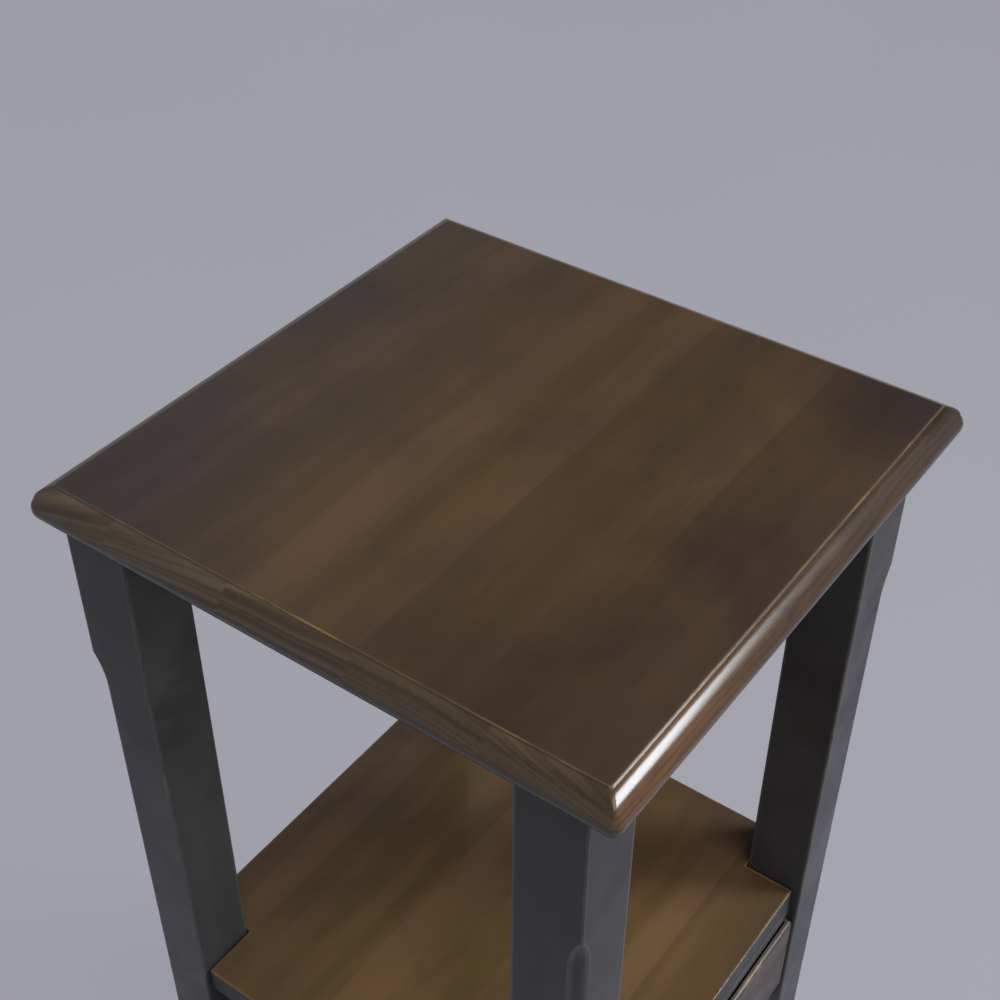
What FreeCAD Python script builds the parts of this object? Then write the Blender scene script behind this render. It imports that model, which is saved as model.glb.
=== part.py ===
import FreeCAD, Part
import math
import os

# Square wooden stand: a moulded top on four legs, an open bay for albums, and a shelf that
# roofs a shallow drawer case. Millimetres, +Z up, front towards -Y.
# Everything is drawn about the centre line of the four legs with the floor at z = 0. save()
# then moves it back, so that the origin lies under the centre of the top.

# ---- overall -------------------------------------------------------------------------------
height = 711.0              # floor to the top surface
top_length = 328.0          # side to side, over the moulding
top_width = 334.2           # front to back, over the moulding
top_overhang_x = 10.8       # past the legs' outer faces, left and right
top_overhang_y = 14.7       # front and back, before the top is set forward
top_set_forward = 4.0       # how far the top's centre stands in front of the legs' centre

# ---- top board -----------------------------------------------------------------------------
top_thickness = 19.0
mould_reach = 9.8           # from the arris of the flat top out to the nose
mould_quirk = 0.6           # small step down at the arris
mould_shoulder_in = 1.7     # where the upper curve ends, measured in from the nose
mould_shoulder_drop = 7.6   # and down from the top surface
mould_nose_drop = 12.0
mould_foot_in = 3.0         # how far the lower edge turns back under the nose
top_corner_radius = 5.0     # in plan, on the nose only

# ---- legs ----------------------------------------------------------------------------------
leg_section = 38.5
leg_arris_radius = 1.0
chamfer_leg = 7.0           # stopped chamfer on each leg's outermost corner
chamfer_runout = 23.0       # length of each lamb's tongue
chamfer_top_stop = 110.0    # its tip, below the top surface
chamfer_foot_stop = 90.0    # its lower tip, above the floor

# ---- foot glides ---------------------------------------------------------------------------
glide_radius = 11.0
glide_height = 3.0
glide_edge_radius = 1.2
glide_nail_radius = 1.2
glide_nail_length = 15.0

# ---- rails under the top -------------------------------------------------------------------
top_rail_height = 26.0
top_rail_thickness = 18.0
top_rail_setback = 10.0     # behind the legs' outer faces

# ---- shelf ---------------------------------------------------------------------------------
shelf_drop = 366.0          # top surface of the stand down to the top surface of the shelf
shelf_thickness = 18.0
shelf_setback = 4.0         # behind the legs' outer faces at the sides
shelf_back_setback = 2.7
shelf_front_setback = 5.9
shelf_notch_gap = 1.0       # round each leg
shelf_arris_radius = 0.8

# ---- drawer case ---------------------------------------------------------------------------
front_top_rail_height = 9.4
front_bottom_rail_height = 20.0
case_panel_thickness = 15.0
case_back_thickness = 12.0
case_panel_setback = 12.0   # behind the legs' outer faces
runner_width = 28.0
runner_thickness = 12.0
guide_height = 25.0
stop_width = 30.0
stop_height = 30.0
stop_offset = 60.0          # each stop's centre from the centre line

# ---- drawer --------------------------------------------------------------------------------
drawer_front_height = 69.0
drawer_front_thickness = 18.0
drawer_front_proud = 4.5    # in front of the shelf's edge
drawer_front_edge_radius = 2.5
drawer_front_gap = 1.0      # all round the drawer front
drawer_side_thickness = 10.0
drawer_side_height = 56.0
drawer_side_gap = 1.5       # between a drawer side and its guide
drawer_run_gap = 0.5        # above the runner, and at the stop when shut
drawer_kick_gap = 1.5       # under the kicker
drawer_back_thickness = 10.0
drawer_back_setin = 6.0     # from the rear ends of the drawer sides
drawer_rebate = 8.0         # how far the sides enter the drawer front
drawer_dado = 4.0           # how far the drawer back enters the sides
drawer_bottom_thickness = 4.0
drawer_bottom_rise = 8.0    # groove above the sides' lower edges
drawer_groove_depth = 5.0
drawer_rear_gap = 13.4      # from the rear ends of the sides to the case back
panel_groove_gap = 0.2

# ---- knob ----------------------------------------------------------------------------------
knob_projection = 18.0
knob_radius = 11.0
knob_neck_radius = 5.5
knob_foot_radius = 7.5

# ---- dowels, screws and pins ---------------------------------------------------------------
dowel_radius = 4.0
dowel_reach = 15.0          # into each of the two pieces it joins
thin_dowel_radius = 2.5
thin_dowel_reach = 12.0
glue_gap = 0.05             # round a dowel, screw or pin in its hole
end_gap = 1.0               # past the end of a dowel, screw or pin
screw_radius = 2.0
screw_head_radius = 4.0
screw_head_height = 2.2
screw_slot = 1.0            # width and depth of the driver slot
screw_bite = 12.0           # thread in the second piece
panel_screw_bite = 9.0
pin_radius = 0.9
pin_bite = 14.0
knob_screw_bite = 10.0
knob_screw_head_radius = 4.5
knob_screw_head_height = 2.4

# ---- levels and planes that follow from the sizes above --------------------------------------
top_under = height - top_thickness
shelf_top = height - shelf_drop
shelf_under = shelf_top - shelf_thickness
front_rail_under = shelf_under - front_top_rail_height
drawer_front_top = front_rail_under - drawer_front_gap
drawer_front_under = drawer_front_top - drawer_front_height
bottom_rail_top = drawer_front_under - drawer_front_gap
case_under = bottom_rail_top - front_bottom_rail_height

leg_out_x = top_length / 2 - top_overhang_x
leg_out_y = top_width / 2 - top_overhang_y
leg_in_x = leg_out_x - leg_section
leg_in_y = leg_out_y - leg_section

shelf_front = -leg_out_y + shelf_front_setback
shelf_back = leg_out_y - shelf_back_setback
shelf_side = leg_out_x - shelf_setback
panel_out = leg_out_x - case_panel_setback
panel_in = panel_out - case_panel_thickness
case_back_rear = leg_out_y - case_panel_setback
case_back_face = case_back_rear - case_back_thickness

runner_top = drawer_front_under
runner_in = panel_in - runner_width
drawer_side_under = runner_top + drawer_run_gap
drawer_side_top = drawer_side_under + drawer_side_height
kicker_under = drawer_side_top + drawer_kick_gap
drawer_out_x = leg_in_x - drawer_side_gap
drawer_in_x = drawer_out_x - drawer_side_thickness
drawer_face = shelf_front - drawer_front_proud
drawer_front_rear = drawer_face + drawer_front_thickness
drawer_rear = case_back_face - drawer_rear_gap
drawer_back_rear = drawer_rear - drawer_back_setin
drawer_back_face = drawer_back_rear - drawer_back_thickness
drawer_bottom_under = drawer_side_under + drawer_bottom_rise
drawer_bottom_top = drawer_bottom_under + drawer_bottom_thickness

SIDES = {"left": -1, "right": 1}
ENDS = {"front": -1, "back": 1}
X = FreeCAD.Vector(1, 0, 0)
Y = FreeCAD.Vector(0, 1, 0)
Z = FreeCAD.Vector(0, 0, 1)

pieces = {}


def point(x, y, z):
    return FreeCAD.Vector(x, y, z)


def slab(xs, ys, zs):
    """A box between two values on each axis, given in either order."""
    low = [min(pair) for pair in (xs, ys, zs)]
    size = [abs(pair[1] - pair[0]) for pair in (xs, ys, zs)]
    return Part.makeBox(*size, point(*low))


def both_ways(half):
    return (-half, half)


def rod(start, direction, radius, length):
    return Part.makeCylinder(radius, length, start, direction)


def ease(shape, radius, chosen):
    """Round the edges for which chosen(edge) is true."""
    edges = [edge for edge in shape.Edges if chosen(edge)]
    return shape.makeFillet(radius, edges)


def lies_at(edge, axis, value):
    """True where a whole edge lies in the plane axis = value."""
    ends = [getattr(vertex.Point, axis) for vertex in edge.Vertexes]
    return all(abs(end - value) < 1e-4 for end in ends)


def save(node, shape):
    placed = shape.copy()
    placed.translate(point(0, top_set_forward, 0))
    placed.exportStep("parts/" + node + ".step")


# ---- top board -----------------------------------------------------------------------------
def moulded_bar(half_width, half_length):
    """The top's cross-section from edge to edge, run along X."""
    arris = half_width - mould_reach
    shoulder = half_width - mould_shoulder_in
    foot = half_width - mould_foot_in

    def at(y, drop):
        return point(-half_length, y, height - drop)

    def half_profile(side):
        """Edges from the quirk down to the foot on one side."""
        quirk = at(side * arris, mould_quirk)
        end = at(side * shoulder, mould_shoulder_drop)
        bulge = at(side * (arris + 0.56 * (shoulder - arris)), 0.36 * mould_shoulder_drop)
        nose = at(side * half_width, mould_nose_drop)
        tail = at(side * foot, top_thickness)
        return [
            Part.LineSegment(at(side * arris, 0), quirk).toShape(),
            Part.Arc(quirk, bulge, end).toShape(),
            Part.Arc(end, nose, tail).toShape(),
        ]

    flat = Part.LineSegment(at(-arris, 0), at(arris, 0)).toShape()
    base = Part.LineSegment(at(-foot, top_thickness), at(foot, top_thickness)).toShape()
    loop = Part.__sortEdges__([flat, base] + half_profile(-1) + half_profile(1))
    return Part.Face(Part.Wire(loop)).extrude(X * (2 * half_length))


def top_board():
    along = moulded_bar(top_width / 2, top_length / 2)
    across = moulded_bar(top_length / 2, top_width / 2)
    across.rotate(point(0, 0, 0), Z, 90)
    corners = slab(both_ways(top_length / 2), both_ways(top_width / 2), (top_under, height))
    upright = [edge for edge in corners.Edges if abs(edge.tangentAt(0).z) > 0.9]
    corners = corners.makeFillet(top_corner_radius, upright)
    board = along.common(across).common(corners)
    board.translate(point(0, -top_set_forward, 0))
    return board


# ---- legs and glides -----------------------------------------------------------------------
def stopped_chamfer(corner, inward_angle):
    """Tool for the chamfer on a leg's outer corner, with a curved run-out at each end."""
    depth = chamfer_leg / math.sqrt(2)
    radius = (chamfer_runout ** 2 + depth ** 2) / (2 * depth)
    half_turn = math.asin(chamfer_runout / radius) / 2
    upper = height - chamfer_top_stop
    lower = chamfer_foot_stop
    bend_in = depth - radius + radius * math.cos(half_turn)
    bend_rise = radius * math.sin(half_turn) - chamfer_runout
    outside = -chamfer_leg
    path = [
        Part.LineSegment(point(outside, 0, upper), point(0, 0, upper)),
        Part.Arc(point(0, 0, upper), point(bend_in, 0, upper + bend_rise),
                 point(depth, 0, upper - chamfer_runout)),
        Part.LineSegment(point(depth, 0, upper - chamfer_runout),
                         point(depth, 0, lower + chamfer_runout)),
        Part.Arc(point(depth, 0, lower + chamfer_runout), point(bend_in, 0, lower - bend_rise),
                 point(0, 0, lower)),
        Part.LineSegment(point(0, 0, lower), point(outside, 0, lower)),
        Part.LineSegment(point(outside, 0, lower), point(outside, 0, upper)),
    ]
    outline = Part.Wire([piece.toShape() for piece in path])
    tool = Part.Face(outline).extrude(Y * (4 * chamfer_leg))
    tool.translate(point(0, -2 * chamfer_leg, 0))
    tool.rotate(point(0, 0, 0), Z, inward_angle)
    tool.translate(corner)
    return tool


def leg(side, end):
    xs = (side * leg_in_x, side * leg_out_x)
    ys = (end * leg_in_y, end * leg_out_y)
    post = slab(xs, ys, (glide_height, top_under))
    post = ease(post, leg_arris_radius, lambda edge: abs(edge.tangentAt(0).z) > 0.9)
    corner = point(side * leg_out_x, end * leg_out_y, 0)
    inward = math.degrees(math.atan2(-end, -side))
    return post.cut(stopped_chamfer(corner, inward))


def glide(side, end):
    """A nail-on glide: a rounded disc with its nail."""
    x = side * (leg_in_x + leg_section / 2)
    y = end * (leg_in_y + leg_section / 2)
    disc = rod(point(x, y, 0), Z, glide_radius, glide_height)
    disc = ease(disc, glide_edge_radius, lambda edge: lies_at(edge, "z", 0))
    nail = rod(point(x, y, glide_height), Z, glide_nail_radius, glide_nail_length)
    hole = rod(point(x, y, glide_height), Z, glide_nail_radius + glue_gap,
               glide_nail_length + end_gap)
    return disc.fuse(nail), hole


# ---- fixings -------------------------------------------------------------------------------
def dowel(joint, direction, radius, reach, joined):
    """A dowel centred on the plane where two pieces meet, with its hole in both."""
    start = joint - direction * reach
    hole_start = joint - direction * (reach + end_gap)
    hole = rod(hole_start, direction, radius + glue_gap, 2 * (reach + end_gap))
    for node in joined:
        pieces[node] = pieces[node].cut(hole)
    return rod(start, direction, radius, 2 * reach)


def screw(face, direction, length, joined):
    """A countersunk screw with its head flush in a face, and its hole in the pieces it joins."""
    head_end = face + direction * screw_head_height
    shank_length = length - screw_head_height
    head = Part.makeCone(screw_head_radius, screw_radius, screw_head_height, face, direction)
    body = head.fuse(rod(head_end, direction, screw_radius, shank_length))
    hole = Part.makeCone(screw_head_radius + glue_gap, screw_radius + glue_gap,
                         screw_head_height, face, direction)
    hole = hole.fuse(rod(head_end, direction, screw_radius + glue_gap, shank_length + end_gap))
    for node in joined:
        pieces[node] = pieces[node].cut(hole)
    across = Y if abs(direction.y) < 0.5 else X
    slot_wide = direction.cross(across)
    spans = [across * (2 * screw_head_radius), slot_wide * screw_slot, direction * screw_slot]
    size = [abs(sum(span[axis] for span in spans)) for axis in range(3)]
    centre = face + direction * (screw_slot / 2)
    low = centre - point(*size) / 2
    return body.cut(Part.makeBox(*size, low))


def pin(face, direction, length, joined):
    """A headless pin driven flush, and its hole."""
    hole = rod(face, direction, pin_radius + glue_gap, length + end_gap)
    for node in joined:
        pieces[node] = pieces[node].cut(hole)
    return rod(face, direction, pin_radius, length)


# ---- legs, glides and top ------------------------------------------------------------------
pieces["top_board"] = top_board()
for end_name, end in ENDS.items():
    for side_name, side in SIDES.items():
        place = end_name + "_" + side_name
        foot, nail_hole = glide(side, end)
        pieces["leg_" + place] = leg(side, end).cut(nail_hole)
        pieces["foot_glide_" + place] = foot

# ---- rails under the top -------------------------------------------------------------------
top_rail_zs = (top_under - top_rail_height, top_under)
top_rail_z = top_under - top_rail_height / 2
top_rail_centre = top_rail_setback + top_rail_thickness / 2
top_rail_dowels = []
top_screws = []
for end_name, end in ENDS.items():
    node = "top_rail_" + end_name
    outer = end * (leg_out_y - top_rail_setback)
    inner = outer - end * top_rail_thickness
    centre = end * (leg_out_y - top_rail_centre)
    pieces[node] = slab(both_ways(leg_in_x), (inner, outer), top_rail_zs)
    for side_name, side in SIDES.items():
        joined = [node, "leg_" + end_name + "_" + side_name]
        joint = point(side * leg_in_x, centre, top_rail_z)
        top_rail_dowels.append(dowel(joint, X, dowel_radius, dowel_reach, joined))
    start = point(0, centre, top_rail_zs[0])
    top_screws.append(screw(start, Z, top_rail_height + screw_bite, [node, "top_board"]))
for side_name, side in SIDES.items():
    node = "top_rail_" + side_name
    outer = side * (leg_out_x - top_rail_setback)
    inner = outer - side * top_rail_thickness
    centre = side * (leg_out_x - top_rail_centre)
    pieces[node] = slab((inner, outer), both_ways(leg_in_y), top_rail_zs)
    for end_name, end in ENDS.items():
        joined = [node, "leg_" + end_name + "_" + side_name]
        joint = point(centre, end * leg_in_y, top_rail_z)
        top_rail_dowels.append(dowel(joint, Y, dowel_radius, dowel_reach, joined))
        start = point(centre, end * leg_in_y / 2, top_rail_zs[0])
        top_screws.append(screw(start, Z, top_rail_height + screw_bite, [node, "top_board"]))
pieces["top_rail_dowels"] = Part.makeCompound(top_rail_dowels)
pieces["top_screws"] = Part.makeCompound(top_screws)


# ---- shelf ---------------------------------------------------------------------------------
def on_outline(edge):
    """True for the shelf's long outer edges, top and bottom."""
    level = lies_at(edge, "z", shelf_top) or lies_at(edge, "z", shelf_under)
    sides = lies_at(edge, "x", shelf_side) or lies_at(edge, "x", -shelf_side)
    ends = lies_at(edge, "y", shelf_front) or lies_at(edge, "y", shelf_back)
    return level and (sides or ends)


shelf = slab(both_ways(shelf_side), (shelf_front, shelf_back), (shelf_under, shelf_top))
for end in ENDS.values():
    for side in SIDES.values():
        notch_x = (side * (leg_in_x - shelf_notch_gap), side * leg_out_x)
        notch_y = (end * (leg_in_y - shelf_notch_gap), end * leg_out_y)
        shelf = shelf.cut(slab(notch_x, notch_y, (shelf_under, shelf_top)))
pieces["shelf_board"] = ease(shelf, shelf_arris_radius, on_outline)

# ---- drawer case ---------------------------------------------------------------------------
case_zs = (case_under, shelf_under)
case_height = shelf_under - case_under
case_dowel_zs = [case_under + case_height * share for share in (0.2, 0.8)]
case_dowels = []
for side_name, side in SIDES.items():
    node = "case_side_" + side_name
    pieces[node] = slab((side * panel_in, side * panel_out), both_ways(leg_in_y), case_zs)
    centre = side * (panel_in + case_panel_thickness / 2)
    for end_name, end in ENDS.items():
        joined = [node, "leg_" + end_name + "_" + side_name]
        for z in case_dowel_zs:
            joint = point(centre, end * leg_in_y, z)
            case_dowels.append(dowel(joint, Y, dowel_radius, dowel_reach, joined))

pieces["case_back"] = slab(both_ways(leg_in_x), (case_back_face, case_back_rear), case_zs)
back_centre = case_back_face + case_back_thickness / 2
for side_name, side in SIDES.items():
    for z in case_dowel_zs:
        joint = point(side * leg_in_x, back_centre, z)
        joined = ["case_back", "leg_back_" + side_name]
        case_dowels.append(dowel(joint, X, dowel_radius, dowel_reach, joined))
pieces["case_dowels"] = Part.makeCompound(case_dowels)

front_rail_ys = (shelf_front, -leg_in_y)
front_rail_levels = {
    "front_top_rail": (front_rail_under, shelf_under),
    "front_bottom_rail": (case_under, bottom_rail_top),
}
front_rail_dowels = []
for node, zs in front_rail_levels.items():
    pieces[node] = slab(both_ways(leg_in_x), front_rail_ys, zs)
    for side_name, side in SIDES.items():
        for share in (0.3, 0.7):
            y = front_rail_ys[0] + (front_rail_ys[1] - front_rail_ys[0]) * share
            joint = point(side * leg_in_x, y, sum(zs) / 2)
            joined = [node, "leg_front_" + side_name]
            front_rail_dowels.append(
                dowel(joint, X, thin_dowel_radius, thin_dowel_reach, joined))
pieces["front_rail_dowels"] = Part.makeCompound(front_rail_dowels)

# ---- what the drawer runs on ---------------------------------------------------------------
runner_screws = []
shelf_screws = []
for side_name, side in SIDES.items():
    width = (side * runner_in, side * panel_in)
    panel = "case_side_" + side_name
    runner = "drawer_runner_" + side_name
    kicker = "drawer_kicker_" + side_name
    pieces[runner] = slab(width, both_ways(leg_in_y), (runner_top - runner_thickness, runner_top))
    pieces["drawer_guide_" + side_name] = slab(
        (side * leg_in_x, side * panel_in), both_ways(leg_in_y),
        (runner_top, runner_top + guide_height))
    pieces[kicker] = slab(width, both_ways(leg_in_y), (kicker_under, shelf_under))
    for y in (-leg_in_y * 0.6, leg_in_y * 0.6):
        start = point(side * runner_in, y, runner_top - runner_thickness / 2)
        runner_screws.append(
            screw(start, X * side, runner_width + panel_screw_bite, [runner, panel]))
        start = point(side * (runner_in + runner_width / 2), y, kicker_under)
        length = shelf_under - kicker_under + screw_bite
        shelf_screws.append(screw(start, Z, length, [kicker, "shelf_board"]))
    stop_x = side * stop_offset
    stop_z = (drawer_side_under + drawer_side_top) / 2
    pieces["drawer_stop_" + side_name] = slab(
        (stop_x - stop_width / 2, stop_x + stop_width / 2),
        (drawer_back_rear + drawer_run_gap, case_back_face),
        (stop_z - stop_height / 2, stop_z + stop_height / 2))
pieces["runner_screws"] = Part.makeCompound(runner_screws)
pieces["shelf_screws"] = Part.makeCompound(shelf_screws)

# ---- drawer --------------------------------------------------------------------------------
front_half = leg_in_x - drawer_front_gap
front = slab(both_ways(front_half), (drawer_face, drawer_front_rear),
             (drawer_front_under, drawer_front_top))
front = ease(front, drawer_front_edge_radius, lambda edge: lies_at(edge, "y", drawer_face))
back = slab(both_ways(drawer_in_x + drawer_dado), (drawer_back_face, drawer_back_rear),
            (drawer_bottom_top, drawer_side_top))

groove_half = drawer_in_x + drawer_groove_depth
bottom_zs = (drawer_bottom_under, drawer_bottom_top)
groove_zs = (drawer_bottom_under, drawer_bottom_top + panel_groove_gap)
groove = slab(both_ways(groove_half), (drawer_front_rear - drawer_groove_depth, drawer_rear),
              groove_zs)
bottom_side = groove_half - panel_groove_gap
bottom_front = drawer_front_rear - drawer_groove_depth + panel_groove_gap
pieces["drawer_bottom"] = slab(both_ways(bottom_side), (bottom_front, drawer_back_rear), bottom_zs)
front = front.cut(groove)
pieces["drawer_back"] = back.cut(groove)

side_start = drawer_front_rear - drawer_rebate
for side_name, side in SIDES.items():
    rebate = slab((side * drawer_in_x, side * leg_out_x), (side_start, drawer_front_rear),
                  (drawer_front_under, drawer_front_top))
    front = front.cut(rebate)
    board = slab((side * drawer_in_x, side * drawer_out_x), (side_start, drawer_rear),
                 (drawer_side_under, drawer_side_top))
    pieces["drawer_side_" + side_name] = board.cut(groove).cut(back)
pieces["drawer_front"] = front

drawer_pins = []
pin_shares = (0.4, 0.65, 0.9)
for side_name, side in SIDES.items():
    node = "drawer_side_" + side_name
    for share in pin_shares:
        z = drawer_side_under + drawer_side_height * share
        for y, other in ((drawer_front_rear - drawer_rebate / 2, "drawer_front"),
                         ((drawer_back_face + drawer_back_rear) / 2, "drawer_back")):
            start = point(side * drawer_out_x, y, z)
            length = drawer_side_thickness + pin_bite
            drawer_pins.append(pin(start, X * -side, length, [node, other]))
pieces["drawer_pins"] = Part.makeCompound(drawer_pins)


# ---- knob ----------------------------------------------------------------------------------
def knob(z):
    """A turned knob, drawn as half a section and revolved about its axis."""
    def at(radius, out):
        return point(radius, drawer_face - out, z)

    neck_out = 0.3 * knob_projection
    flare_out = 0.5 * knob_projection
    rim_out = 0.68 * knob_projection
    dome_out = 0.88 * knob_projection
    dome_foot = 0.8 * knob_radius
    dome_rise = knob_projection - dome_out
    dome_radius = (dome_foot ** 2 + dome_rise ** 2) / (2 * dome_rise)
    half_turn = math.asin(dome_foot / dome_radius) / 2
    dome_middle = at(dome_radius * math.sin(half_turn),
                     knob_projection - dome_radius * (1 - math.cos(half_turn)))
    path = [
        Part.LineSegment(at(0, 0), at(knob_foot_radius, 0)),
        Part.Arc(at(knob_foot_radius, 0), at(knob_neck_radius, neck_out),
                 at(dome_foot, flare_out)),
        Part.Arc(at(dome_foot, flare_out), at(knob_radius, rim_out), at(dome_foot, dome_out)),
        Part.Arc(at(dome_foot, dome_out), dome_middle, at(0, knob_projection)),
        Part.LineSegment(at(0, knob_projection), at(0, 0)),
    ]
    section = Part.Face(Part.Wire([piece.toShape() for piece in path]))
    return section.revolve(at(0, 0), Y, 360)


knob_z = (drawer_front_under + drawer_front_top) / 2
knob_screw_reach = drawer_front_thickness + knob_screw_bite
screw_start = point(0, drawer_front_rear, knob_z)
screw_hole = rod(screw_start, -Y, screw_radius + glue_gap, knob_screw_reach + end_gap)
pieces["drawer_front"] = pieces["drawer_front"].cut(screw_hole)
pieces["drawer_knob"] = knob(knob_z).cut(screw_hole)
pieces["knob_screw"] = rod(screw_start, -Y, screw_radius, knob_screw_reach).fuse(
    rod(screw_start, Y, knob_screw_head_radius, knob_screw_head_height))

# ---- write ---------------------------------------------------------------------------------
os.makedirs("parts", exist_ok=True)
for node, shape in pieces.items():
    save(node, shape)
print(len(pieces), "nodes")
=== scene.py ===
import math
import bmesh
import bpy
from mathutils import Matrix, Vector


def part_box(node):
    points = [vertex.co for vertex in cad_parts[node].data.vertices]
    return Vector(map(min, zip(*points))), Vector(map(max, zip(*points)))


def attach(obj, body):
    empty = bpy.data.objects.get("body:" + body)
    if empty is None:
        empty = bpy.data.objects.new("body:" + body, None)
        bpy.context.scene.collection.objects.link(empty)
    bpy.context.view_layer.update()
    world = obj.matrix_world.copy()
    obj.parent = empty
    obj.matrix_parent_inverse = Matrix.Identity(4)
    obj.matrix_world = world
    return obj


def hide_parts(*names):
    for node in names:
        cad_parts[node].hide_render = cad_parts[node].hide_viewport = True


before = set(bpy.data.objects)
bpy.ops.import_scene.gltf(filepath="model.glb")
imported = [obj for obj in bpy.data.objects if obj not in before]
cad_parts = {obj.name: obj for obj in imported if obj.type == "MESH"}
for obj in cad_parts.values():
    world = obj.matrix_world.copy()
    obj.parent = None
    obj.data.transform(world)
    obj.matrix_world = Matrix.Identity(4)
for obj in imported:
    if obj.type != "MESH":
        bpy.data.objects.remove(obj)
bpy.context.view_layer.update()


# ---- Camera ------------------------------------------------------------------------------
# A 58 mm lens off the near left corner, about half a metre above the top and looking down on
# it. The lens is shifted very slightly, as after a small crop.
camera_data = bpy.data.cameras.new("camera")
camera_data.sensor_width = 36.0
camera_data.lens = 57.8
camera_data.shift_x = 0.0073
camera_data.shift_y = 0.0247
camera_data.clip_start = 0.02
camera = bpy.data.objects.new("camera", camera_data)
bpy.context.scene.collection.objects.link(camera)
eye_azimuth = math.radians(-53.886)
eye_elevation = math.radians(40.449)
eye_back = Vector((math.sin(eye_azimuth) * math.cos(eye_elevation),
                   -math.cos(eye_azimuth) * math.cos(eye_elevation),
                   math.sin(eye_elevation)))
eye_left, eye_forward, eye_above_top = 0.5077, 0.3588, 0.4781
top_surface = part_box("top_board")[1].z
camera.location = Vector((-eye_left, -eye_forward, top_surface + eye_above_top))
camera.rotation_euler = (-eye_back).to_track_quat("-Z", "Y").to_euler()
bpy.context.scene.camera = camera
bpy.context.scene.view_settings.view_transform = "Standard"


# ---- Floor and light -----------------------------------------------------------------------
# A plain pale studio floor that runs out of sight and glows a little, like lit paper, with
# pale walls that are brightest behind. A soft strip light hangs at the front right, and a wide
# one overhead.
def put(tree, kind, inputs=None, **settings):
    """Add a node. An input given as a socket is linked, and anything else is its value."""
    node = tree.nodes.new(kind)
    for name, value in settings.items():
        setattr(node, name, value)
    for name, value in (inputs or {}).items():
        socket = node.inputs[name]
        if isinstance(value, bpy.types.NodeSocket):
            tree.links.new(value, socket)
        else:
            socket.default_value = value
    return node


def new_material(name):
    """An empty material, its tree and its Principled shader, already joined to the output."""
    material = bpy.data.materials.new(name)
    material.use_nodes = True
    tree = material.node_tree
    tree.nodes.clear()
    shader = tree.nodes.new("ShaderNodeBsdfPrincipled")
    output = tree.nodes.new("ShaderNodeOutputMaterial")
    tree.links.new(shader.outputs["BSDF"], output.inputs["Surface"])
    return material, tree, shader


def wire(tree, shader, **sockets):
    """Join values to the shader's sockets, named with _ for a space."""
    for name, value in sockets.items():
        tree.links.new(value, shader.inputs[name.replace("_", " ")])


def rgba(red, green, blue):
    return (red, green, blue, 1.0)


floor_half = 6.0
floor_mesh = bpy.data.meshes.new("floor")
floor_corners = [(-floor_half, -floor_half, 0), (floor_half, -floor_half, 0),
                 (floor_half, floor_half, 0), (-floor_half, floor_half, 0)]
floor_mesh.from_pydata(floor_corners, [], [(0, 1, 2, 3)])
floor = bpy.data.objects.new("floor", floor_mesh)
bpy.context.scene.collection.objects.link(floor)
floor_material, tree, shader = new_material("floor_paper")
coords = put(tree, "ShaderNodeTexCoord").outputs["Object"]
paper = put(tree, "ShaderNodeTexNoise", {"Vector": coords, "Scale": 2.0, "Detail": 2.0})
glow = put(tree, "ShaderNodeMix", {"Factor": paper.outputs["Fac"], "A": rgba(0.306, 0.307, 0.352),
                                   "B": rgba(0.320, 0.321, 0.368)}, data_type="RGBA")
shader.inputs["Base Color"].default_value = rgba(0.06, 0.06, 0.068)
shader.inputs["Roughness"].default_value = 0.9
shader.inputs["Specular IOR Level"].default_value = 0.1
shader.inputs["Emission Strength"].default_value = 1.0
wire(tree, shader, Emission_Color=glow.outputs["Result"])
floor_mesh.materials.append(floor_material)

world = bpy.data.worlds.new("room")
world.use_nodes = True
bpy.context.scene.world = world
tree = world.node_tree
way = put(tree, "ShaderNodeTexCoord").outputs["Generated"]
way = put(tree, "ShaderNodeSeparateXYZ", {"Vector": way}).outputs
wall = put(tree, "ShaderNodeMapRange", {"Value": way["Y"], "From Min": 0.40, "From Max": 0.66,
                                        "To Min": 0.08, "To Max": 0.46},
           interpolation_type="SMOOTHSTEP").outputs["Result"]
around = put(tree, "ShaderNodeMapRange", {"Value": way["Z"], "From Min": 0.16, "From Max": 0.44,
                                          "To Min": 0.39, "To Max": 0.0},
             interpolation_type="SMOOTHSTEP").outputs["Result"]
strength = put(tree, "ShaderNodeMath", {0: wall, 1: around}, operation="MAXIMUM").outputs[0]
tree.nodes["Background"].inputs["Color"].default_value = rgba(0.873, 0.876, 1.0)
tree.links.new(strength, tree.nodes["Background"].inputs["Strength"])


def soft_light(name, place, target, width, height, roll, watts, colour):
    """A panel of light that faces target, turned by roll degrees about the way it faces."""
    data = bpy.data.lights.new(name, "AREA")
    data.shape = "RECTANGLE"
    data.size = width
    data.size_y = height
    data.energy = watts
    data.color = colour
    lamp = bpy.data.objects.new(name, data)
    lamp.location = place
    facing = (Vector(place) - Vector(target)).to_track_quat("Z", "Y").to_matrix()
    lamp.rotation_euler = (facing @ Matrix.Rotation(math.radians(roll), 3, "Z")).to_euler()
    bpy.context.scene.collection.objects.link(lamp)


soft_light("strip_at_front_right", place=(0.90, -1.28, 1.74), target=(-0.17, -0.17, 0.7),
           width=0.34, height=1.0, roll=-38.5, watts=38, colour=(0.86, 0.93, 1.0))
soft_light("overhead", place=(-0.45, -1.0, 2.5), target=(0, 0, 0.6),
           width=1.5, height=1.5, roll=0, watts=33, colour=(1.0, 0.95, 0.86))


# ---- Top board -----------------------------------------------------------------------------
# One glued-up hardwood board, moulded on all four edges: a small quirk at the arris, a long
# easy curve, and a round nose that turns back under. It is stained walnut and varnished, the
# arrises are rubbed through to bare wood, and the foot of the moulding is painted like the legs.
MM = 0.001


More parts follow.
